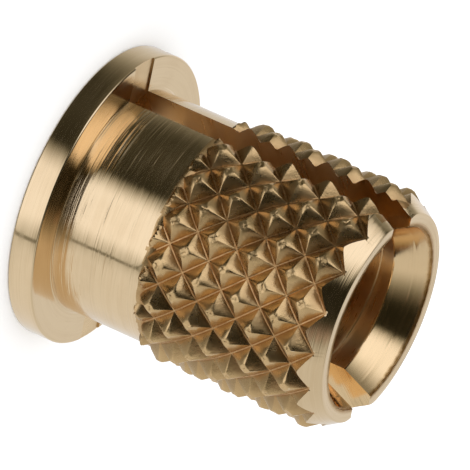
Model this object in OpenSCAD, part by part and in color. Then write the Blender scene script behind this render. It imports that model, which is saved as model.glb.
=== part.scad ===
// Threaded insert for pressing into a drilled or moulded hole.
// One turned brass piece: a thin flange, a plain shank, a band of diamond
// knurling, a tapered tip and a threaded bore right through. One saw cut
// splits the sleeve across its whole diameter, from the tip down to the flange.
// The part stands on its flange: the outer face of the flange lies in z = 0,
// the bore runs along +Z and the cut runs along Y.

/* [Flange] */
// Diameter of the flange
flange_d = 7.1; // [6.8:0.05:8]
// Thickness of the flange
flange_t = 0.65; // [0.5:0.05:1]
// Width of the small bevel that breaks both rims of the flange
flange_break = 0.04; // [0.02:0.01:0.1]

/* [Sleeve] */
// Overall length, from the outer face of the flange to the end of the tip
total_l = 7.7; // [7.4:0.05:9]
// Diameter of the plain shank between the flange and the knurled band
shank_d = 5.44; // [5.4:0.01:5.6]
// Radius of the fillet where the shank meets the flange
fillet_r = 0.03; // [0.03:0.01:0.2]

/* [Knurl] */
// Diameter over the tops of the knurl
knurl_d = 5.92; // [5.8:0.02:6]
// Diameter at the bottom of the knurl grooves
knurl_root_d = 5.34; // [5.3:0.01:5.38]
// Height above the flange face at which the knurled band begins
knurl_z = 3.02; // [2.6:0.02:3.6]
// Number of grooves in each of the two crossing sets
knurl_n = 17; // [14:1:20]
// Distance along the axis from one groove crossing to the next in line
knurl_pitch = 1.02; // [0.9:0.02:1.2]

/* [Tip] */
// Half angle of the taper that leads the tip into its hole
taper_a = 32; // [26:1:36]
// Diameter at which the taper would meet the end face
tip_d = 5.08; // [5.0:0.02:5.16]
// Radius that rounds the edge between the taper and the end face
tip_round = 0.06; // [0.05:0.01:0.2]
// Diameter of the countersink at the end face
sink_d = 4.48; // [4.2:0.02:4.54]
// Half angle of the countersink
sink_a = 25; // [22:1:36]

/* [Bore] */
// Bore left inside the thread crests, for an M4 x 0.7 thread
bore_d = 3.3; // [3.25:0.01:3.42]
// Diameter of the lead-in bevel at the outer face of the flange
mouth_d = 4.2; // [4.0:0.05:4.6]

/* [Saw cut] */
// Width of the saw cut through both walls
slot_w = 0.83; // [0.6:0.01:0.95]
// Depth of the flat track that the saw leaves across the inner face of the flange
slot_track = 0.05; // [0.03:0.01:0.15]

/* [Hidden] */

fine = 96;            // facets asked for on the true round surfaces
over = 2;             // how far the cutting shapes run past the part

flange_r = flange_d / 2;
shank_r = shank_d / 2;
top_r = knurl_d / 2;
root_r = knurl_root_d / 2;
bore_r = bore_d / 2;
tip_r = tip_d / 2;
core_r = root_r - 0.12;   // plain cylinder under the knurl

// The knurl is a lattice of square-based points. Even lattice nodes are
// crossings of two grooves, odd ones are the tops. Every cell of the lattice
// is split along the groove that runs corner to corner through it.
cols = 2 * knurl_n;
col_a = 360 / cols;
row_h = knurl_pitch / 2;
knurl_a0 = 159.5;         // angle of one groove crossing
knurl_z0 = 5.41;          // and its height
row_0 = floor((knurl_z - 0.5 - knurl_z0) / row_h);
row_1 = ceil((total_l + 0.2 - knurl_z0) / row_h);
rows = row_1 - row_0;
ring_r = core_r - 0.2;    // inner wall of the ring that carries the points

// Height of full, sharp points above the groove bottoms: the grooves are cut
// by a square edge, so the points are half as high as the grooves are apart.
groove_gap = row_h * 2 * sin(atan2(2 * PI * (root_r + 0.15) / knurl_n, knurl_pitch));
sharp_h = groove_gap / 2;
// Share of each point that is left once its top is cut off at the knurl diameter
keep = min(0.95, (top_r - root_r) / sharp_h);

function polar(r, a, z) = [r * cos(a), r * sin(a), z];
function node_a(i) = knurl_a0 + i * col_a;
function node_z(j) = knurl_z0 + j * row_h;
function is_top(i, j) = ((i + j) % 2 + 2) % 2 == 1;

// Four corners of the flat top on lattice node (i, j): right, up, left, down
function top_pts(i, j) = [
    for (d = [[1, 0], [0, 1], [-1, 0], [0, -1]])
        polar(top_r,
              node_a(i) + d[1] * (1 - keep) * col_a,
              node_z(j) + d[0] * (1 - keep) * row_h)];

// Every lattice node owns four points, so their places in the list are regular.
// A groove crossing repeats one point four times, and no face uses the spares.
ring_pts = concat(
    [for (j = [row_0 : row_1]) for (i = [0 : cols - 1])
        for (p = is_top(i, j) ? top_pts(i, j)
                              : [for (k = [0 : 3]) polar(root_r, node_a(i), node_z(j))]) p],
    [for (e = [row_0, row_1]) for (i = [0 : cols - 1]) polar(ring_r, node_a(i), node_z(e))]);

function vid(i, j, k) = ((j - row_0) * cols + ((i % cols) + cols) % cols) * 4
                        + (is_top(i, j) ? k : 0);
function wid(i, e) = (rows + 1) * cols * 4 + e * cols + ((i % cols) + cols) % cols;

// Faces between the two groove corners and the top of one half cell.
// g0 and g1 are the groove corners, t the top, ka and kb its two points
// that face g0 and g1.
function half_cell(g0, g1, ta, tb, flip) = flip
    ? [[g0, ta, g1], [ta, tb, g1]]
    : [[g0, g1, ta], [ta, g1, tb]];

// Cell (i, j) spans lattice nodes i..i+1 and j..j+1
function cell(i, j) = is_top(i, j)
    ? concat(   // tops at (i, j) and (i+1, j+1), groove from (i+1, j) to (i, j+1)
        half_cell(vid(i + 1, j, 0), vid(i, j + 1, 0), vid(i, j, 1), vid(i, j, 0), false),
        half_cell(vid(i + 1, j, 0), vid(i, j + 1, 0), vid(i + 1, j + 1, 2), vid(i + 1, j + 1, 3), true))
    : concat(   // tops at (i+1, j) and (i, j+1), groove from (i, j) to (i+1, j+1)
        half_cell(vid(i, j, 0), vid(i + 1, j + 1, 0), vid(i + 1, j, 3), vid(i + 1, j, 0), true),
        half_cell(vid(i, j, 0), vid(i + 1, j + 1, 0), vid(i, j + 1, 2), vid(i, j + 1, 1), false));

// Flat tops. On the first and last row only the half inside the ring is kept.
function cap(i, j) = !is_top(i, j) ? []
    : concat(
        j < row_1 ? [[vid(i, j, 3), vid(i, j, 1), vid(i, j, 0)]] : [],
        j > row_0 ? [[vid(i, j, 1), vid(i, j, 3), vid(i, j, 2)]] : []);

// Flat end of the ring, between its inner wall and the zigzag edge
function end_row(i, j, e) =
    let (w0 = wid(i, e), w1 = wid(i + 1, e),
         a = is_top(i, j) ? vid(i, j, 1) : vid(i, j, 0),
         b = is_top(i + 1, j) ? vid(i + 1, j, 3) : vid(i + 1, j, 0),
         c = is_top(i, j) ? [[w0, vid(i, j, 3), vid(i, j, 1)]] : [],
         f = concat(c, [[w0, a, b], [w0, b, w1]]))
    e == 0 ? [for (t = f) [t[0], t[2], t[1]]] : f;

ring_faces = concat(
    [for (j = [row_0 : row_1 - 1]) for (i = [0 : cols - 1]) for (f = cell(i, j)) f],
    [for (j = [row_0 : row_1]) for (i = [0 : cols - 1]) for (f = cap(i, j)) f],
    [for (i = [0 : cols - 1]) for (f = end_row(i, row_0, 0)) f],
    [for (i = [0 : cols - 1]) for (f = end_row(i, row_1, 1)) f],
    [for (i = [0 : cols - 1]) for (f = [[wid(i, 0), wid(i + 1, 0), wid(i + 1, 1)],
                                        [wid(i, 0), wid(i + 1, 1), wid(i, 1)]]) f]);

// Turned outline of the flange and the plain shank, with the fillet between
// them, and the plain core that carries on up to the end face.
module turned_body() {
    rotate_extrude($fn = fine)
        difference() {
            polygon([[0, 0], [flange_r - flange_break, 0], [flange_r, flange_break],
                     [flange_r, flange_t - flange_break], [flange_r - flange_break, flange_t],
                     [shank_r + fillet_r, flange_t], [shank_r + fillet_r, flange_t + fillet_r],
                     [shank_r, flange_t + fillet_r], [shank_r, knurl_z],
                     [core_r, knurl_z], [core_r, total_l], [0, total_l]]);
            translate([shank_r + fillet_r, flange_t + fillet_r]) circle(r = fillet_r, $fn = 48);
        }
}

// Diamond points on a ring, trimmed where the band begins: the first points
// rise out of the shank over a short bevel.
module knurl_band() {
    intersection() {
        polyhedron(points = ring_pts, faces = ring_faces, convexity = 8);
        rotate_extrude($fn = fine)
            polygon([[0, knurl_z - 0.25], [shank_r - 0.05, knurl_z - 0.25],
                     [top_r + 0.2, knurl_z + 0.2], [top_r + 0.2, total_l], [0, total_l]]);
    }
}

// Everything outside the tapered tip, with the rounded edge to the end face.
// The round meets the end face at radius edge_r and the taper tangentially.
module outside_of_tip() {
    edge_r = tip_r - tip_round * tan((90 - taper_a) / 2);
    far_r = top_r + 0.6;
    rotate_extrude($fn = fine)
        polygon([[tip_r, total_l], [far_r, total_l - (far_r - tip_r) / tan(taper_a)],
                 [far_r, total_l + over], [tip_r, total_l + over]]);
    rotate_extrude($fn = fine)
        difference() {
            polygon([[edge_r, total_l],
                     [edge_r + tip_round * cos(taper_a), total_l - tip_round * (1 - sin(taper_a))],
                     [tip_r + 0.05, total_l], [tip_r + 0.05, total_l + over], [edge_r, total_l + over]]);
            translate([edge_r, total_l - tip_round]) circle(r = tip_round, $fn = 48);
        }
}

// Bore, countersink at the tip and lead-in bevel at the flange
module bore() {
    translate([0, 0, -over]) cylinder(r = bore_r, h = total_l + 2 * over, $fn = fine);
    rotate_extrude($fn = fine) {
        polygon([[0, total_l - (sink_d / 2 - bore_r) / tan(sink_a) - bore_r],
                 [bore_r, total_l - (sink_d / 2 - bore_r) / tan(sink_a)],
                 [sink_d / 2, total_l], [sink_d / 2, total_l + over], [0, total_l + over]]);
        polygon([[0, -over], [mouth_d / 2, -over], [mouth_d / 2, 0],
                 [bore_r, mouth_d / 2 - bore_r], [0, mouth_d / 2]]);
    }
}

// One saw cut through both walls, with the track it leaves in the flange
module saw_cut() {
    translate([-slot_w / 2, -flange_r - over, flange_t - slot_track])
        cube([slot_w, 2 * (flange_r + over), total_l]);
}

module threaded_insert() {
    color([0.80, 0.66, 0.46])
        difference() {
            union() {
                turned_body();
                knurl_band();
            }
            outside_of_tip();
            bore();
            saw_cut();
        }
}

threaded_insert();
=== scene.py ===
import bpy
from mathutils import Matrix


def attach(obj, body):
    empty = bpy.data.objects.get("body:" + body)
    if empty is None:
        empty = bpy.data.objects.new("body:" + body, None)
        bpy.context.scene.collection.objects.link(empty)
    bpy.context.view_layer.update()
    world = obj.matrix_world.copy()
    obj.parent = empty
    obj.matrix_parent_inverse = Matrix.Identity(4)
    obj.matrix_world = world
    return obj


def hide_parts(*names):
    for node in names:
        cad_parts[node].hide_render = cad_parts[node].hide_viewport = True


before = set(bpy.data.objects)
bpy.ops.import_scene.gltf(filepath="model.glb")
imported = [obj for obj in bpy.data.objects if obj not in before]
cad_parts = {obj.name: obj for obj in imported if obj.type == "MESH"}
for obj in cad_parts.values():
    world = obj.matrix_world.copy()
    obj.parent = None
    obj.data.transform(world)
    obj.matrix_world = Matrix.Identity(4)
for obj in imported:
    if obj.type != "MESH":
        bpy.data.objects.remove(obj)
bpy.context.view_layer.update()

import math

import bmesh
import bpy
import numpy as np
from mathutils import Matrix, Vector

# ---------------------------------------------------------------------------
# Sizes in millimetres. The mesh is built in millimetres and put into metres
# at the end, so that the boolean steps work on numbers near 1.
# ---------------------------------------------------------------------------
MM = 0.001
FLANGE_R, FLANGE_T = 3.55, 0.65
SHANK_R, FILLET = 2.72, 0.009
TOTAL = 7.70
SLOT_W, SLOT_Z = 0.83, 0.607
TAPER, TIP_R, TIP_ROUND = math.radians(32), 2.54, 0.016
SINK_R, SINK_A = 2.235, math.radians(25)
BORE_R, ROOT_R, PITCH = 1.65, 2.0, 0.7
LAST_R, LEAD_R, THREAD_A0 = 1.818, 1.862, math.radians(150.9)
KN, KP, KA0, KZ0 = 17, 1.02, math.radians(159.5), 5.41
K_ROOT, K_TOP = 2.67, 2.96
COL = math.pi / KN          # half the angle between two grooves of one hand
ROW = KP / 2
SHARP = KP / 2 * math.sqrt(0.5)   # depth of a sharp groove cut by a square edge


class Noise:
    """Smooth value noise on a wrapped lattice of fixed random numbers."""

    def __init__(self, seed, n=32):
        self.n = n
        self.t = np.random.RandomState(seed).uniform(-1, 1, (n, n, n))

    def __call__(self, p, scale):
        q = np.asarray(p, float) * scale
        i = np.floor(q).astype(int)
        f = q - i
        f = f * f * (3 - 2 * f)
        out = 0.0
        for dx in (0, 1):
            for dy in (0, 1):
                for dz in (0, 1):
                    w = (
                        (f[..., 0] if dx else 1 - f[..., 0])
                        * (f[..., 1] if dy else 1 - f[..., 1])
                        * (f[..., 2] if dz else 1 - f[..., 2])
                    )
                    out = out + w * self.t[
                        (i[..., 0] + dx) % self.n,
                        (i[..., 1] + dy) % self.n,
                        (i[..., 2] + dz) % self.n,
                    ]
        return out


noise = Noise(41)
noise2 = Noise(97)


def smooth(a, b, x):
    t = np.clip((x - a) / (b - a), 0, 1)
    return t * t * (3 - 2 * t)


def polar(r, a, z):
    return np.stack([r * np.cos(a), r * np.sin(a), np.broadcast_to(z, np.shape(a))], -1)


def make(name, verts, faces):
    """A mesh object from points and polygons, with its faces turned outwards."""
    me = bpy.data.meshes.new(name)
    me.from_pydata([tuple(v) for v in verts], [], faces)
    bm = bmesh.new()
    bm.from_mesh(me)
    bmesh.ops.recalc_face_normals(bm, faces=bm.faces)
    if bm.calc_volume(signed=True) < 0:
        bmesh.ops.reverse_faces(bm, faces=bm.faces)
    bad = sum(1 for e in bm.edges if len(e.link_faces) != 2)
    if bad:
        raise RuntimeError(f"{name}: {bad} open edges")
    bm.to_mesh(me)
    bm.free()
    ob = bpy.data.objects.new(name, me)
    bpy.context.collection.objects.link(ob)
    return ob


def arc(cx, cy, r, a0, a1, n):
    """Points on an arc, angles in degrees."""
    return [
        (cx + r * math.cos(math.radians(a)), cy + r * math.sin(math.radians(a)))
        for a in np.linspace(a0, a1, n)
    ]


def revolve(name, prof, cols, wob=None, ring=False):
    """A solid of revolution. prof goes from the axis to the axis, or round a
    closed loop if ring is true. wob moves the finished points."""
    ang = np.linspace(0, 2 * math.pi, cols, endpoint=False)
    body = prof if ring else prof[1:-1]
    pts = np.array([[[r * math.cos(a), r * math.sin(a), z] for a in ang] for r, z in body])
    if wob is not None:
        pts = wob(pts)
    n = len(body)
    verts = pts.reshape(-1, 3).tolist()
    faces = []
    for i in range(n if ring else n - 1):
        k = (i + 1) % n
        for j in range(cols):
            m = (j + 1) % cols
            faces.append((i * cols + j, i * cols + m, k * cols + m, k * cols + j))
    if not ring:
        for end, row in ((prof[0], 0), (prof[-1], n - 1)):
            c = len(verts)
            verts.append((0, 0, end[1]))
            for j in range(cols):
                faces.append((c, row * cols + j, row * cols + (j + 1) % cols))
    return make(name, verts, faces)


# ---------------------------------------------------------------------------
# Flange and shank, turned in one go. The rims are broken by small rounds.
# ---------------------------------------------------------------------------
def turned_body():
    e = 0.045
    prof = [(0, 0)] + [(r, 0) for r in (1.2, 1.9, 2.4, 2.9, 3.3)]
    prof += arc(FLANGE_R - e, e, e, -90, 0, 5)
    prof += [(FLANGE_R, z) for z in (0.2, 0.33, 0.46)]
    prof += arc(FLANGE_R - e, FLANGE_T - e, e, 0, 90, 5)
    prof += [(r, FLANGE_T) for r in (3.42, 3.30, 3.16, 3.02, 2.88)]
    prof += arc(SHANK_R + FILLET, FLANGE_T + FILLET, FILLET, 270, 180, 4)
    prof += [(SHANK_R, z) for z in (0.82, 0.97, 1.15, 1.4, 1.65, 1.9, 2.15, 2.4, 2.6, 2.72, 2.79, 2.85, 2.90)]
    prof += [(2.716, 2.94), (2.706, 2.98), (2.69, 3.03), (2.672, 3.08), (2.645, 3.14), (2.60, 3.2), (2.45, 3.32), (2.45, 5.2), (2.45, TOTAL + 0.2), (0, TOTAL + 0.2)]

    def wob(p):
        r = np.hypot(p[..., 0], p[..., 1])
        z = p[..., 2]
        # the tool leaves the shank a few microns out of true
        push = noise(p, 0.9) * 0.0025 * smooth(0.8, 1.0, z) * (1 - smooth(2.9, 3.0, z))
        # metal pushed up in front of the knurl, most where a point begins
        a = np.arctan2(p[..., 1], p[..., 0])
        lip = smooth(2.76, 2.90, z) * (1 - smooth(2.92, 2.98, z))
        push = push + lip * (0.001 + 0.006 * noise2(p, 3.1) + 0.0015 * noise(p, 7.0))
        k = (r + push) / np.maximum(r, 1e-9)
        q = p.copy()
        q[..., 0] *= k
        q[..., 1] *= k
        # and the edge where the grooves begin is torn, not a clean circle
        torn = smooth(2.72, 2.90, z) * (1 - smooth(3.05, 3.15, z)) * (r > 2.5)
        flat = np.stack([2.7 * np.cos(a), 2.7 * np.sin(a), 0 * a], -1)
        q[..., 2] += torn * (0.045 * noise(flat, 1.9) + 0.030 * noise2(flat, 4.7) + 0.006 * noise(flat, 9.0))
        # faces of the flange: a slow dish of a few microns, never outwards
        inner = (np.abs(z - FLANGE_T) < 1e-6) * smooth(2.76, 3.3, r)
        q[..., 2] -= inner * (0.003 + 0.003 * noise(p, 0.7))
        return q

    return revolve("turned_body", prof, 360, wob)


# ---------------------------------------------------------------------------
# Knurl: a ring of square-based points between two crossing sets of grooves.
# Each point is a tile with four facets. Its grid has narrow strips along the
# groove floor, at the foot of the facets and along the ridges.
# ---------------------------------------------------------------------------
def knurl_ring():
    ms = np.array([1.0, 0.958, 0.915, 0.76, 0.60, 0.455, 0.335, 0.245, 0.165, 0.095, 0.04])
    ts = np.array([-1, -0.965, -0.88, -0.45, 0, 0.45, 0.88, 0.965])
    side = len(ts)
    # square rings round the tile's centre, walked side by side
    pq = []
    even = np.linspace(-1, 0.75, side)
    for m in ms:
        blend = float(smooth(0.62, 0.30, m))
        for s in range(4):
            for t in ts * (1 - blend) + even * blend:
                a, b = m, t * m
                pq.append([(a, b), (-b, a), (-a, -b), (b, -a)][s])
    pq.append((0.0, 0.0))
    pq = np.array(pq)
    ring_n = 4 * side
    quads, tris = [], []
    for k in range(len(ms) - 1):
        for c in range(ring_n):
            d = (c + 1) % ring_n
            quads.append((k * ring_n + c, k * ring_n + d, (k + 1) * ring_n + d, (k + 1) * ring_n + c))
    last = (len(ms) - 1) * ring_n
    for c in range(ring_n):
        tris.append((last + c, last + (c + 1) % ring_n, len(pq) - 1))

    j0 = int(math.floor((2.62 - KZ0) / ROW))
    j1 = int(math.ceil((TOTAL + 0.25 - KZ0) / ROW))
    tiles = [(i, j) for j in range(j0, j1 + 1) for i in range(2 * KN) if (i + j) % 2]
    rnd = np.random.RandomState(7)
    V, F = [], []
    m = np.maximum(np.abs(pq[:, 0]), np.abs(pq[:, 1]))
    t = np.minimum(np.abs(pq[:, 0]), np.abs(pq[:, 1])) / np.maximum(m, 1e-9)
    u = (pq[:, 0] + pq[:, 1]) / 2
    v = (pq[:, 0] - pq[:, 1]) / 2
    floor_d = 0.046
    side_n = np.where(np.abs(pq[:, 0]) >= np.abs(pq[:, 1]), np.where(pq[:, 0] > 0, 0, 2), np.where(pq[:, 1] > 0, 1, 3))
    for n, (i, j) in enumerate(tiles):
        a = KA0 + (i + u) * COL
        z = KZ0 + (j + v) * ROW
        base = polar(K_ROOT, a, z)
        up = 1 - m
        # rolled flanks swell a little, from foot to top and from ridge to ridge
        belly = 0.36 * rnd.uniform(0.45, 1.35, 4)[side_n]
        swell = belly * np.maximum(up - floor_d, 0) * (1 - up) * (1 - 0.8 * t ** 2)
        lift = np.maximum(up - floor_d, 0.0) + swell
        lift = lift * SHARP
        # no two flanks stand at quite the same angle
        lean = rnd.uniform(-0.035, 0.035, 4)[side_n]
        lift = lift + lean * SHARP * up * smooth(0.0, 0.4, up) * smooth(1.0, 0.8, t)
        # the foot of each facet runs into the groove floor with a small radius
        foot = np.exp(-((up - floor_d) / 0.030) ** 2) * 0.0030
        # ridges are very slightly rounded, some more than others
        ridge = np.clip((t - 0.95) / 0.05, 0, 1) ** 2 * m * 0.0012 * (1 + noise(base, 2.6))
        h = lift + foot * (m < 0.9999) - ridge * (m < 0.97)
        # the point isn't filled right up: each top is cut off flat, and metal
        # that folded up from the sides meets there in a torn seam
        top = (K_TOP - K_ROOT) + rnd.uniform(-0.030, -0.002)
        c = rnd.uniform(-0.07, 0.07, 2)
        dx, dy = pq[:, 0] - c[0], pq[:, 1] - c[1]
        pit = 0.006 * rnd.uniform(0.0, 1.0) * np.exp(-((dx ** 2 + dy ** 2) / 0.17 ** 2))
        turn = rnd.uniform(0, 6.3)
        for k in range(3):
            ang = turn + 2.1 * k + rnd.uniform(-0.5, 0.5)
            along = dx * math.cos(ang) + dy * math.sin(ang)
            across = dy * math.cos(ang) - dx * math.sin(ang)
            reach = rnd.uniform(0.12, 0.30)
            seam = np.exp(-(across / 0.030) ** 2) * smooth(reach + 0.06, reach - 0.04, along) * smooth(-0.04, 0.02, along)
            pit = np.maximum(pit, 0.020 * rnd.uniform(0.3, 1.0) * seam)
        tilt = rnd.uniform(-0.035, 0.035, 2)
        torn = 0.012 * noise2(base + [0, 0, 3.0 * n], 11.0) + tilt[0] * dx + tilt[1] * dy
        cap = top + torn
        h = np.where(m < 0.62, np.minimum(h, cap), h) - pit
        # the cutter's chatter and the burnish of the facets, a few microns deep
        inside = smooth(0.0, 0.06, up)
        h = h + inside * (0.0050 * noise(base, 4.5) + 0.0026 * noise2(base, 13.0))
        h = h + 0.002 * noise(base, 7.0)
        # the grooves run out at the start of the band over a short ragged ramp
        rag = 0.06 * noise(base, 2.2) + 0.05 * noise2(base, 6.0) + 0.025 * noise(base, 13.0)
        amp = smooth(2.80, 3.06, z + rag)
        r = K_ROOT + np.minimum(h, K_TOP - K_ROOT)
        r = 2.60 + (r - 2.60) * amp
        V.append(polar(r, a, z))
        off = n * len(pq)
        F += [tuple(off + x for x in f) for f in quads]
        F += [tuple(off + x for x in f) for f in tris]
    V = np.concatenate(V)
    # shared points of neighbouring tiles become one
    ang = np.concatenate([KA0 + (i + u) * COL for i, j in tiles])
    hgt = np.concatenate([KZ0 + (j + v) * ROW for i, j in tiles])
    key = np.stack([np.round(np.mod(ang, 2 * math.pi) * 1e5) % round(2 * math.pi * 1e5), np.round(hgt * 1e5)], 1)
    _, first, inv = np.unique(key, axis=0, return_index=True, return_inverse=True)
    inv = inv.reshape(-1)
    V = V[first]
    F = [tuple(int(inv[x]) for x in f) for f in F]
    # close the ring: radial walls down from both zigzag rims, and an inner wall
    edges = {}
    for f in F:
        for a, b in zip(f, f[1:] + f[:1]):
            edges[(a, b)] = edges.get((a, b), 0) + 1
    rim = [(a, b) for (a, b) in edges if (b, a) not in edges]
    inner = {}
    V = V.tolist()
    for a in {x for e in rim for x in e}:
        th = math.atan2(V[a][1], V[a][0])
        inner[a] = len(V)
        V.append([2.25 * math.cos(th), 2.25 * math.sin(th), V[a][2]])
    for a, b in rim:
        F.append((b, a, inner[a], inner[b]))
    mid = (j0 + j1) / 2 * ROW + KZ0
    loops = []
    for low in (True, False):
        ids = [inner[a] for a in inner if (V[a][2] < mid) == low]
        ids.sort(key=lambda k: math.atan2(V[k][1], V[k][0]))
        loops.append(ids)
    lo, hi = loops
    if len(lo) != len(hi):
        raise RuntimeError(f"knurl rims differ: {len(lo)} and {len(hi)}")
    for k in range(len(lo)):
        n = (k + 1) % len(lo)
        F.append((lo[k], hi[k], hi[n], lo[n]))
    return make("knurl", V, F)


# ---------------------------------------------------------------------------
# Cutters
# ---------------------------------------------------------------------------
def tip_cutter():
    """Everything outside the tapered tip: taper, rounded edge and end face."""
    edge = TIP_R - TIP_ROUND * math.tan((math.pi / 2 - TAPER) / 2)
    far = 3.6
    prof = [(1.2, TOTAL - 0.002), (2.22, TOTAL - 0.002), (2.24, TOTAL - 0.002), (2.262, TOTAL - 0.004), (2.285, TOTAL - 0.008), (2.33, TOTAL - 0.009), (2.42, TOTAL - 0.007)]
    prof += arc(edge, TOTAL - TIP_ROUND, TIP_ROUND, 80, math.degrees(TAPER), 4)
    r, z = prof[-1]
    for k in np.linspace(0.12, 1, 9):
        prof.append((r + (far - r) * k, z - (far - r) * k / math.tan(TAPER)))
    prof += [(far, TOTAL + 1), (1.2, TOTAL + 1)]

    def wob(p):
        r = np.hypot(p[..., 0], p[..., 1])
        z = p[..., 2]
        on = (z < TOTAL - 0.012) & (r < 3.5)
        d = on * 0.0030 * noise(p, 1.3)
        # corners beside the saw cut are rubbed down
        near = np.clip((0.82 - np.abs(p[..., 0])) / 0.40, 0, 1) ** 2.5 * (np.abs(p[..., 1]) > 1.5)
        d = d - ((z < TOTAL) & (r > 2.48) & (r < 3.5)) * near * (0.085 + 0.020 * noise(p, 2.0))
        q = p.copy()
        q[..., 0] *= (r + d) / r
        q[..., 1] *= (r + d) / r
        # the burr that the countersink turned up along its edge
        burr = (np.abs(r - 2.25) < 0.04) & (z < TOTAL + 0.1)
        q[..., 2] += burr * np.minimum(0.0, 0.004 * noise(p, 2.1) + 0.004 * noise2(p, 7.0) - 0.001)
        return q

    return revolve("tip_cutter", prof, 360, wob, ring=True)


def sink_cutter():
    """Countersink at the tip, with the step that its cutter left."""
    def at(r):
        return TOTAL - (SINK_R - r) / math.tan(SINK_A)

    prof = [(0, at(1.3))] + [(r, at(r)) for r in (1.3, 1.5, 1.66, 1.74, 1.82, 1.88, 1.94, 2.0, 2.05)]
    # a fine ring where the cutter paused
    prof += [(2.068, at(2.068)), (2.0735, at(2.072)), (2.079, at(2.079)), (2.12, at(2.12)), (2.17, at(2.17))]
    prof += [(2.200, at(2.200)), (2.214, at(2.214)), (2.226, at(2.216)), (SINK_R, TOTAL - 0.014), (SINK_R + 0.002, TOTAL + 0.01)]
    prof += [(SINK_R + 0.002, TOTAL + 0.6), (0, TOTAL + 0.6)]

    def wob(p):
        r = np.hypot(p[..., 0], p[..., 1])
        z = p[..., 2]
        # the edge is ragged
        a = np.arctan2(p[..., 1], p[..., 0])
        d = smooth(TOTAL - 0.07, TOTAL - 0.02, z) * (0.008 * noise(p * [1, 1, 0], 2.3) + 0.011 * noise2(p * [1, 1, 0], 6.5) + 0.003)
        q = p.copy()
        q[..., 0] *= (r + d) / np.maximum(r, 1e-9)
        q[..., 1] *= (r + d) / np.maximum(r, 1e-9)
        return q

    return revolve("sink_cutter", prof, 360, wob)


def mouth_cutter():
    prof = [(0, -0.6), (2.13, -0.6), (2.13, -0.012), (2.10, 0.006), (2.0, 0.10), (1.85, 0.25), (1.60, 0.50), (0, 0.50)]
    return revolve("mouth_cutter", prof, 240)


def thread_cutter():
    """Right-hand M4 x 0.7 thread, as a helical surface that advances one
    pitch a turn. Crests and roots are flat, with small rounds. The top turn
    ends in a plain lead-in bore: its last crest is low, and runs out into the
    wall over the last fifth of a turn."""
    cols = 120
    one = [
        (0.00, BORE_R), (0.10, BORE_R), (0.125, BORE_R + 0.002), (0.155, BORE_R + 0.010), (0.24, BORE_R + 0.115),
        (0.33, BORE_R + 0.235), (0.395, ROOT_R - 0.012), (0.43, ROOT_R), (0.49, ROOT_R),
        (0.525, ROOT_R - 0.012), (0.59, BORE_R + 0.235), (0.68, BORE_R + 0.115), (0.765, BORE_R + 0.010), (0.82, BORE_R),
    ]
    rows = len(one)
    turns, top = 15, 11
    frac = np.array([o[0] for o in one])
    rad = np.array([o[1] for o in one])
    zs = (np.arange(turns)[:, None] + frac[None, :]).ravel() * PITCH - 1.632
    rs = np.tile(rad, turns)
    R = len(zs)
    # the last crest, the step above it and the plain bore above that
    last = top * rows
    rs[last - 5:last + 2] = np.maximum(rs[last - 5:last + 2], LAST_R)
    rs[last + 2:last + 5] = (LAST_R + 0.004, LAST_R + 0.030, LEAD_R - 0.003)
    rs[last + 5:] = LEAD_R
    nxt = np.concatenate([rs[rows:], np.full(rows, LEAD_R)])
    verts, faces = [], []
    for i in range(cols):
        a = THREAD_A0 + 2 * math.pi * i / cols
        f = float(smooth(0.78, 1.0, i / cols))
        for j in range(R):
            r = rs[j] * (1 - f) + nxt[j] * f
            verts.append((r * math.cos(a), r * math.sin(a), zs[j] + PITCH * i / cols))
    for i in range(cols):
        k = (i + 1) % cols
        s = rows if k == 0 else 0
        for j in range(R - 1):
            if j + 1 + s < R:
                faces.append((i * R + j, k * R + j + s, k * R + j + 1 + s, i * R + j + 1))
    # rims are two spiral loops with one step, each closed by a fan to the axis
    count = {}
    for f in faces:
        for a, b in zip(f, f[1:] + f[:1]):
            count[(a, b)] = 1
    rim = [(a, b) for (a, b) in count if (b, a) not in count]
    low, high = len(verts), len(verts) + 1
    verts += [(0, 0, float(zs[0]) + PITCH / 2), (0, 0, float(zs[-1]) - PITCH / 2)]
    mid = float(zs[0] + zs[-1]) / 2
    for a, b in rim:
        c = low if verts[a][2] < mid else high
        faces.append((b, a, c))
    used = sorted({x for f in faces for x in f})
    new = {x: k for k, x in enumerate(used)}
    return make("thread_cutter", [verts[x] for x in used], [tuple(new[x] for x in f) for f in faces])


def slot_cutter():
    """The saw cut. Its walls carry the faint arcs of a large saw."""
    w = SLOT_W / 2
    ys = np.linspace(-3.9, 3.9, 79)
    zs = np.concatenate([[SLOT_Z, SLOT_Z + 0.02], np.arange(0.73, 8.2, 0.1)])
    ny, nz = len(ys), len(zs)
    Y, Z = np.meshgrid(ys, zs, indexing="ij")
    # distance from the saw's centre, which lies far off to one side
    d = np.hypot(Y - 22.4, Z - 33.6)
    verts = []
    for s in (-1, 1):
        mark = 0.0022 * np.sin(d * 9.1 + s) + 0.0016 * noise(np.stack([d * 2.3, Y * 0 + s, Z * 0], -1), 1.0)
        mark = mark * smooth(SLOT_Z, SLOT_Z + 0.15, Z)
        X = s * (w + mark)
        verts.append(np.stack([X, Y, Z], -1).reshape(-1, 3))
    verts = np.concatenate(verts).tolist()
    n = ny * nz
    faces = []
    for s in (0, 1):
        for i in range(ny - 1):
            for j in range(nz - 1):
                a = s * n + i * nz + j
                faces.append((a, a + 1, a + nz + 1, a + nz))
    for i in range(ny - 1):      # bottom and top
        for j in (0, nz - 1):
            a = i * nz + j
            faces.append((a, a + nz, n + a + nz, n + a))
    for j in range(nz - 1):      # the two ends
        for i in (0, ny - 1):
            a = i * nz + j
            faces.append((a, a + 1, n + a + 1, n + a))
    return make("slot_cutter", verts, faces)


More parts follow.
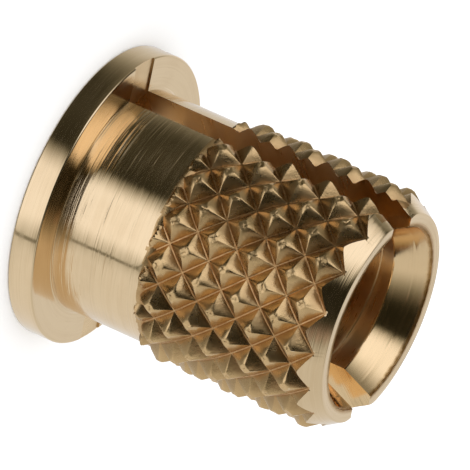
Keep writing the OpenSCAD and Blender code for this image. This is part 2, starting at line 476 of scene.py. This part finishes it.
def edge_cutters():
    """Slim eight-sided bars along the sharp outer edges that the saw left, turned on edge, sized to break those edges
    by three hundredths. Nothing here cuts with them."""
    out = []
    w = SLOT_W / 2

    def bar(name, a, b, s):
        a, b = Vector(a), Vector(b)
        d = (b - a).normalized()
        x = d.orthogonal().normalized()
        y = d.cross(x)
        verts = []
        for e in (a - d * 0.0, b + d * 0.0):
            for k in range(8):
                t = math.pi * 2 * k / 8
                verts.append(e + s * (math.cos(t) * x + math.sin(t) * y))
        faces = [tuple(range(8)), tuple(range(15, 7, -1))]
        faces += [(k, (k + 1) % 8, 8 + (k + 1) % 8, 8 + k) for k in range(8)]
        return make(name, verts, faces)

    for sx in (-1, 1):
        for sy in (-1, 1):
            y = math.sqrt(SHANK_R ** 2 - w ** 2)
            out.append(bar(f"edge{sx}{sy}", (sx * w, sy * y, FLANGE_T + 0.12), (sx * w, sy * y, 2.86), 0.016))
    return out


def boolean(target, op, cutter):
    m = target.modifiers.new(op, "BOOLEAN")
    m.operation = op
    m.solver = "MANIFOLD"
    m.object = cutter
    dg = bpy.context.evaluated_depsgraph_get()
    me = bpy.data.meshes.new_from_object(target.evaluated_get(dg))
    target.modifiers.clear()
    old = target.data
    target.data = me
    bpy.data.meshes.remove(old)
    old = cutter.data
    bpy.data.objects.remove(cutter)
    bpy.data.meshes.remove(old)
    if not me.polygons:
        raise RuntimeError("a boolean step left nothing")


insert = turned_body()
boolean(insert, "UNION", knurl_ring())
boolean(insert, "DIFFERENCE", tip_cutter())
boolean(insert, "DIFFERENCE", thread_cutter())
boolean(insert, "DIFFERENCE", sink_cutter())
boolean(insert, "DIFFERENCE", mouth_cutter())
boolean(insert, "DIFFERENCE", slot_cutter())
insert.name = "insert_body"
insert.data.name = "insert_body"

# ---------------------------------------------------------------------------
# Tidy the mesh, put it into metres, sort its faces by how each was made
# ---------------------------------------------------------------------------
me = insert.data
me.materials.clear()
bm = bmesh.new()
bm.from_mesh(me)
bmesh.ops.triangulate(bm, faces=[f for f in bm.faces if len(f.verts) > 4])
bmesh.ops.dissolve_degenerate(bm, dist=1e-6, edges=bm.edges)
open_edges = sum(1 for e in bm.edges if len(e.link_faces) != 2)
print("mesh:", len(bm.verts), "points,", sum(len(f.verts) - 2 for f in bm.faces), "triangles,", open_edges, "open edges")
TURNED, KNURLED, SAWN, THREADED = range(4)
for f in bm.faces:
    c = f.calc_center_median()
    n = f.normal
    r = math.hypot(c.x, c.y)
    kind = TURNED
    if c.z > SLOT_Z - 1e-3 and abs(n.x) > 0.9 and abs(abs(c.x) - SLOT_W / 2) < 0.02:
        kind = SAWN
    elif abs(c.z - SLOT_Z) < 2e-3 and n.z > 0.9 and abs(c.x) < SLOT_W / 2 + 0.01:
        kind = SAWN
    elif r < 2.03 and c.z < 7.3 and not (abs(n.z) > 0.9 and c.z < 0.01):
        kind = THREADED
        cone = SINK_R - (TOTAL - c.z) * math.tan(SINK_A)
        if c.z > 6.5 and abs(r - cone) < 0.012 and 0.3 < n.z < 0.55:
            kind = TURNED
    elif r > 2.6 and c.z > 2.9:
        u = (n.x * c.x + n.y * c.y) / max(r, 1e-6)
        taper_z = TOTAL - (r - TIP_R) / math.tan(TAPER)
        if abs(c.z - taper_z) > 0.02:
            kind = KNURLED
    f.material_index = kind
    f.smooth = True
for v in bm.verts:
    v.co *= MM
bm.to_mesh(me)
bm.free()
me.update()

# ---------------------------------------------------------------------------
# Materials. Brass with the finish that each way of cutting leaves.
# ---------------------------------------------------------------------------
class Nodes:
    """Short names for building a node tree."""

    def __init__(self, tree):
        self.t = tree

    def new(self, kind, **inputs):
        n = self.t.nodes.new(kind)
        for k, v in inputs.items():
            self.put(n.inputs[k], v)
        return n

    def put(self, socket, v):
        if isinstance(v, bpy.types.NodeSocket):
            self.t.links.new(v, socket)
        else:
            socket.default_value = v

    def math(self, op, *args, clamp=False):
        n = self.t.nodes.new("ShaderNodeMath")
        n.operation, n.use_clamp = op, clamp
        for k, v in enumerate(args):
            self.put(n.inputs[k], v)
        return n.outputs[0]

    def vec(self, op, *args):
        n = self.t.nodes.new("ShaderNodeVectorMath")
        n.operation = op
        for k, v in enumerate(args):
            if k == 1 and op == "SCALE":
                self.put(n.inputs["Scale"], v)
            else:
                self.put(n.inputs[k], v)
        return n.outputs["Value"] if op in ("DOT_PRODUCT", "LENGTH") else n.outputs["Vector"]

    def join(self, x, y, z):
        n = self.t.nodes.new("ShaderNodeCombineXYZ")
        for k, v in enumerate((x, y, z)):
            self.put(n.inputs[k], v)
        return n.outputs[0]

    def step(self, x, a, b, lo=0.0, hi=1.0, kind="SMOOTHSTEP"):
        n = self.t.nodes.new("ShaderNodeMapRange")
        n.interpolation_type = kind
        n.clamp = True
        if a > b:
            a, b, lo, hi = b, a, hi, lo
        for k, v in enumerate((x, a, b, lo, hi)):
            self.put(n.inputs[k], v)
        return n.outputs[0]

    def noise(self, vec, scale, detail=2.0, rough=0.5, w=None):
        n = self.t.nodes.new("ShaderNodeTexNoise")
        n.noise_dimensions = "4D" if w is not None else "3D"
        self.put(n.inputs["Vector"], vec)
        n.inputs["Scale"].default_value = scale
        n.inputs["Detail"].default_value = detail
        n.inputs["Roughness"].default_value = rough
        if w is not None:
            self.put(n.inputs["W"], w)
        return n.outputs["Fac"]

    def mix(self, f, a, b):
        n = self.t.nodes.new("ShaderNodeMix")
        n.data_type = "RGBA"
        self.put(n.inputs[0], f)
        self.put(n.inputs[6], a)
        self.put(n.inputs[7], b)
        return n.outputs[2]

    def bump(self, height, metres, normal=None):
        n = self.t.nodes.new("ShaderNodeBump")
        n.inputs["Strength"].default_value = 1.0
        n.inputs["Distance"].default_value = metres
        self.put(n.inputs["Height"], height)
        if normal is not None:
            self.put(n.inputs["Normal"], normal)
        return n.outputs[0]


BRASS = (0.865, 0.655, 0.405, 1)
BRASS_DEEP = (0.72, 0.47, 0.23, 1)


def brass(name, kind):
    m = bpy.data.materials.new(name)
    m.use_nodes = True
    n = Nodes(m.node_tree)
    b = m.node_tree.nodes["Principled BSDF"]
    b.inputs["Metallic"].default_value = 1.0
    co = n.t.nodes.new("ShaderNodeTexCoord").outputs["Object"]
    p = n.vec("SCALE", co, 1000.0)                      # millimetres
    sep = n.new("ShaderNodeSeparateXYZ", Vector=p)
    x, y, z = sep.outputs
    rho = n.vec("LENGTH", n.join(x, y, 0.0))
    cx = n.math("DIVIDE", x, n.math("MAXIMUM", rho, 0.01))
    cy = n.math("DIVIDE", y, n.math("MAXIMUM", rho, 0.01))

    def rings(fine, along, scale=1.0, detail=2.0, rough=0.5):
        """Noise drawn out into arcs round the axis: fine is cycles a
        millimetre across the arcs, along is how fast it changes on them."""
        v = n.join(n.math("MULTIPLY", rho, fine), n.math("MULTIPLY", z, fine), n.math("MULTIPLY", cx, along))
        return n.noise(v, scale, detail, rough, w=n.math("MULTIPLY", cy, along))

    def lines(fine, along, detail=2.0, rough=0.5, least=0.15, lo=0.42, hi=0.62):
        """True circles round the axis, each strong in some places and faint
        in others."""
        v = n.join(n.math("MULTIPLY", rho, fine), n.math("MULTIPLY", z, fine), 3.7 * fine)
        true = n.noise(v, 1.0, detail, rough)
        part = n.step(rings(fine * 0.45, along, detail=1.0), lo, hi, least, 1.0)
        return n.math("ADD", 0.5, n.math("MULTIPLY", n.math("SUBTRACT", true, 0.5), part))

    if kind == "turned":
        broad = lines(4.5, 0.9, least=0.5)
        fine = lines(15.0, 1.8, detail=2.0, rough=0.6, least=0.2)
        hair = lines(31.0, 3.4, detail=1.0, least=0.0, lo=0.50, hi=0.66)
        soft = rings(16.0, 2.6, detail=2.0, rough=0.6)
        cloud = n.noise(p, 0.9, 3.0, 0.55)
        rough = n.math("ADD", n.step(soft, 0.35, 0.70, 0.10, 0.17), n.step(cloud, 0.35, 0.7, -0.015, 0.04))
        # finer finish on the flange and in the countersink
        cone = n.math("MULTIPLY", n.step(rho, 2.245, 2.235), n.step(z, 6.85, 6.89))
        calm = n.math("MAXIMUM", n.math("MULTIPLY", n.step(rho, 2.76, 2.80), n.step(z, 0.72, 0.68, 0.0, 0.72)), n.math("MULTIPLY", cone, 0.94))
        keep = n.math("SUBTRACT", 1.0, calm)
        nrm = n.bump(n.math("MULTIPLY", broad, keep), 0.000010)
        # marks where the tool stopped: deeper on the side that ran out of true
        near = n.math("MULTIPLY", n.step(z, 0.98, 1.12), n.step(z, 1.75, 1.45))
        near = n.math("MULTIPLY", near, n.step(cy, 0.46, 0.72, -0.55, 0.9))
        bite = n.math("MULTIPLY", keep, n.math("ADD", 1.0, near))
        nrm = n.bump(n.math("MULTIPLY", fine, bite), 0.000012, nrm)
        nrm = n.bump(n.math("MULTIPLY", hair, keep), 0.0000085, nrm)
        tone = n.math("ADD", n.step(cloud, 0.42, 0.75, 0.0, 0.30), n.step(fine, 0.40, 0.60, 0.22, -0.10))
        tone = n.math("ADD", tone, n.step(hair, 0.42, 0.58, 0.18, -0.18), clamp=True)
        col = n.mix(tone, BRASS, (0.76, 0.55, 0.32, 1))
        col = n.mix(n.math("MULTIPLY", cone, 0.55), col, (0.865, 0.61, 0.325, 1))
        # painted shadow under the burr round the countersink: a thin, ragged dark-brown band, which is also rougher
        grit = n.noise(p, 6.0, 3.0, 0.65)
        edge = n.math("ADD", rho, n.step(grit, 0.3, 0.7, -0.004, 0.006, "LINEAR"))
        burr_shadow_line = n.math("MULTIPLY", n.step(edge, 2.182, 2.222), n.step(edge, 2.36, 2.25))
        burr_shadow_line = n.math("MULTIPLY", n.math("MULTIPLY", burr_shadow_line, n.step(z, 7.5, 7.55)), n.step(grit, 0.32, 0.58, 0.7, 1.0))
        col = n.mix(burr_shadow_line, col, (0.50, 0.29, 0.10, 1))
        rough = n.math("ADD", rough, n.math("MULTIPLY", burr_shadow_line, 0.34))
        b.inputs["Anisotropic"].default_value = 0.75
        tan = n.t.nodes.new("ShaderNodeTangent")
        tan.direction_type, tan.axis = "RADIAL", "Z"
        n.put(b.inputs["Tangent"], tan.outputs[0])
        b.inputs["Anisotropic Rotation"].default_value = 0.25   # highlights run across the tool marks
    elif kind == "knurled":
        cloud = n.noise(p, 2.6, 3.0, 0.6)
        grain = n.noise(p, 11.0, 3.0, 0.6)
        fine = n.noise(p, 34.0, 2.0, 0.5)
        rough = n.step(cloud, 0.3, 0.75, 0.23, 0.35)
        nrm = n.bump(grain, 0.0000050)
        nrm = n.bump(fine, 0.0000012, nrm)
        rough = n.math("MAXIMUM", rough, n.step(rho, 2.90, 2.94, 0.2, 0.38))
        # painted shade: the knurl's colour darkens towards the groove roots, more in some patches than others
        root_shade = n.math("MULTIPLY", n.step(rho, 2.96, 2.70, 0.15, 1.0, "LINEAR"), n.step(cloud, 0.25, 0.7, 0.6, 1.0))
        col = n.mix(root_shade, (0.765, 0.532, 0.265, 1), (0.56, 0.358, 0.168, 1))
        # rougher metal along the bottom of the grooves, with painted shade there too: a darker brown colour
        groove_floor_dull_and_shade = n.math("MULTIPLY", n.step(rho, 2.702, 2.684), n.step(grain, 0.35, 0.65, 0.6, 1.0))
        col = n.mix(n.math("MULTIPLY", groove_floor_dull_and_shade, 0.85), col, (0.52, 0.285, 0.115, 1))
        rough = n.math("MAXIMUM", rough, n.math("MULTIPLY", groove_floor_dull_and_shade, 0.42))
    elif kind == "sawn":
        # arcs of a large saw
        d = n.vec("LENGTH", n.join(0.0, n.math("SUBTRACT", y, 22.4), n.math("SUBTRACT", z, 33.6)))
        v = n.join(n.math("MULTIPLY", d, 6.0), n.math("MULTIPLY", y, 0.35), n.math("MULTIPLY", x, 1.0))
        arcs = n.noise(v, 1.0, 3.0, 0.6)
        v = n.join(n.math("MULTIPLY", d, 17.0), n.math("MULTIPLY", y, 0.5), n.math("MULTIPLY", x, 1.0))
        fine = n.noise(v, 1.0, 2.0, 0.6)
        cloud = n.noise(p, 1.7, 3.0, 0.6)
        rough = n.math("MULTIPLY", n.step(arcs, 0.3, 0.7, 0.26, 0.36), n.step(z, 5.4, 6.9, 1.0, 0.45))
        nrm = n.bump(arcs, 0.0000025)
        nrm = n.bump(fine, 0.0000022, nrm)
        col = n.mix(n.step(cloud, 0.35, 0.7, 0.0, 0.2), (0.905, 0.66, 0.375, 1), BRASS_DEEP)
    else:
        fine = rings(19.0, 2.5, detail=3.0, rough=0.6)
        cloud = n.noise(p, 1.3, 3.0, 0.6)
        rough = n.step(fine, 0.35, 0.7, 0.27, 0.36)
        broad = lines(3.4, 0.8, least=0.6)
        nrm = n.bump(broad, 0.000009)
        nrm = n.bump(fine, 0.0000009, nrm)
        col = n.mix(n.step(cloud, 0.3, 0.7, 0.45, 0.85), BRASS, BRASS_DEEP)
        crest = n.math("MULTIPLY", n.math("MULTIPLY", n.step(rho, 1.800, 1.812), n.step(rho, 1.861, 1.852)), n.step(z, 5.7, 5.9))
        col = n.mix(n.math("MULTIPLY", crest, 0.35), col, (0.50, 0.26, 0.09, 1))
    n.put(b.inputs["Base Color"], col)
    n.put(b.inputs["Roughness"], rough)
    n.put(b.inputs["Normal"], nrm)
    return m


for n in ("turned", "knurled", "sawn", "threaded"):
    me.materials.append(brass("brass_" + n, n))

edges = me.attributes.new("sharp_edge", "BOOLEAN", "EDGE") if "sharp_edge" not in me.attributes else me.attributes["sharp_edge"]
me.set_sharp_from_angle(angle=math.radians(27))

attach(insert, "root")
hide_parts("threaded_insert")

# ---------------------------------------------------------------------------
# Floor, light, camera
# ---------------------------------------------------------------------------
bm = bmesh.new()
bmesh.ops.create_grid(bm, x_segments=8, y_segments=8, size=0.9)
floor_mesh = bpy.data.meshes.new("floor")
bm.to_mesh(floor_mesh)
bm.free()
floor = bpy.data.objects.new("floor", floor_mesh)
floor.location.z = -0.00001    # never in one plane with the flange
bpy.context.collection.objects.link(floor)
fm = bpy.data.materials.new("floor")
fm.use_nodes = True
fn = Nodes(fm.node_tree)
fb = fm.node_tree.nodes["Principled BSDF"]
fb.inputs["Base Color"].default_value = (0.96, 0.96, 0.96, 1)
fb.inputs["Roughness"].default_value = 0.9
fb.inputs["Specular IOR Level"].default_value = 0.0
floor.data.materials.append(fm)
floor.visible_glossy = False      # the metal mirrors the studio, not the floor's edge

# The studio: a dark room with a soft box on either side, a pale sheet below
# and behind. right, up and out are its own directions.
right = Vector((0.49846671, 0.18936003, 0.84597501))
down = Vector((-0.30996335, -0.87241227, 0.37791474))
ahead = Vector((0.80960092, -0.45059917, -0.37617381))

world = bpy.data.worlds.new("studio")
bpy.context.scene.world = world
world.use_nodes = True
world.cycles.sampling_method = "NONE"
w = Nodes(world.node_tree)
for node in list(world.node_tree.nodes):
    world.node_tree.nodes.remove(node)
way = w.t.nodes.new("ShaderNodeTexCoord").outputs["Generated"]
way = w.vec("NORMALIZE", way)
sx = w.vec("DOT_PRODUCT", way, tuple(right))
sy = w.vec("DOT_PRODUCT", way, tuple(-down))
sz = w.vec("DOT_PRODUCT", way, tuple(-ahead))


def toward(azimuth, elevation):
    a, e = math.radians(azimuth), math.radians(elevation)
    return Vector((math.sin(a) * math.cos(e), math.sin(e), math.cos(a) * math.cos(e)))


def soft_box(azimuth, elevation, wide, high, left, right_, bottom, top, roll):
    """1 inside a rectangle of light seen in that direction. left to top say
    how soft each of its edges is."""
    c = toward(azimuth, elevation)
    h = Vector((math.cos(math.radians(azimuth)), 0, -math.sin(math.radians(azimuth))))
    u = c.cross(h)
    ro = math.radians(roll)
    h, u = h * math.cos(ro) + u * math.sin(ro), u * math.cos(ro) - h * math.sin(ro)
    front = w.vec("DOT_PRODUCT", look, tuple(c))
    safe = w.math("MAXIMUM", front, 0.02)
    px = w.math("DIVIDE", w.vec("DOT_PRODUCT", look, tuple(h)), safe)
    py = w.math("DIVIDE", w.vec("DOT_PRODUCT", look, tuple(u)), safe)
    fx = w.math("MULTIPLY", w.step(px, -wide - left, left - wide), w.step(px, wide + right_, wide - right_))
    fy = w.math("MULTIPLY", w.step(py, -high - bottom, bottom - high), w.step(py, high + top, high - top))
    return w.math("MULTIPLY", w.math("MULTIPLY", fx, fy), w.step(front, 0.02, 0.1))


def shade(light, azimuth, elevation, inner, soft, depth):
    """Take a round patch of light away, with a soft edge."""
    d = w.vec("DOT_PRODUCT", look, tuple(toward(azimuth, elevation)))
    keep = w.step(d, math.cos(math.radians(inner + soft)), math.cos(math.radians(inner)), 1.0, 1.0 - depth)
    return w.math("MULTIPLY", light, keep)


def lay(light, box, level):
    return w.math("ADD", w.math("MULTIPLY", light, w.math("SUBTRACT", 1.0, box)), w.math("MULTIPLY", box, level))


look = w.join(sx, sy, sz)
light = w.math("ADD", 0.83, w.math("ADD", w.math("MULTIPLY", sx, -0.11), w.math("MULTIPLY", sy, 0.20)))
light = shade(light, -14, -1, 19, 50, 0.985)       # the dark room round the camera
light = shade(light, 66, -6, 39, 18, 0.945)
light = shade(light, -82, 55, 30, 35, 0.93)        # and overhead
light = shade(light, -106, 40, 42, 45, 0.57)
light = shade(light, 90, 40, 6, 56, 0.72)
light = shade(light, 17, -14, 10, 18, 0.78)         # the lens itself
light = w.math("ADD", light, 0.014)
light = lay(light, soft_box(-53.8, 4.0, 0.565, 0.50, 0.22, 0.22, 0.24, 0.24, -17), 1.06)
light = lay(light, soft_box(40.5, 30.2, 0.577, 0.364, 0.040, 0.105, 0.230, 0.262, -5.1), 1.14)
# a thin dark line where the left box ends and the table begins
rim = w.math("ABSOLUTE", w.vec("DOT_PRODUCT", look, (-0.1475, 0.7612, 0.6319)))
rim = w.math("MULTIPLY", w.step(rim, 0.036, 0.012), w.step(sx, -0.45, -0.65))
light = w.math("MULTIPLY", light, w.math("SUBTRACT", 1.0, w.math("MULTIPLY", rim, 0.66)))
path = w.t.nodes.new("ShaderNodeLightPath").outputs
plain = w.math("MAXIMUM", path["Is Camera Ray"], path["Is Diffuse Ray"])
level = w.math("ADD", w.math("MULTIPLY", plain, 1.35), w.math("MULTIPLY", w.math("SUBTRACT", 1.0, plain), light))
# soft boxes are a touch cooler than the dark room round them
cool = w.math("MAXIMUM", level, 0.02)
tint = w.join(1.0, w.math("MULTIPLY", w.math("POWER", cool, 0.025), 1.03), w.math("MULTIPLY", w.math("POWER", cool, 0.17), 1.10))
tint = w.mix(plain, tint, (1, 1, 1, 1))
red = w.step(w.vec("DOT_PRODUCT", look, tuple(toward(11, -38))), math.cos(math.radians(12)), math.cos(math.radians(4)))
tint = w.mix(w.math("MULTIPLY", w.math("MULTIPLY", red, 0.35), w.math("SUBTRACT", 1.0, plain)), tint, (1.25, 0.62, 0.50, 1))
bg = w.new("ShaderNodeBackground", Color=tint, Strength=level)
out = w.t.nodes.new("ShaderNodeOutputWorld")
w.t.links.new(bg.outputs[0], out.inputs[0])

cam_data = bpy.data.cameras.new("camera")
cam = bpy.data.objects.new("camera", cam_data)
bpy.context.collection.objects.link(cam)
place = Vector((-0.12821, 0.07178, 0.06330))
cam.matrix_world = Matrix((
    (right.x, -down.x, -ahead.x, place.x),
    (right.y, -down.y, -ahead.y, place.y),
    (right.z, -down.z, -ahead.z, place.z),
    (0, 0, 0, 1),
))
cam_data.sensor_width = 36
cam_data.lens = 536.17
cam_data.clip_start, cam_data.clip_end = 0.005, 10
bpy.context.scene.camera = cam
bpy.context.scene.view_settings.view_transform = "Standard"
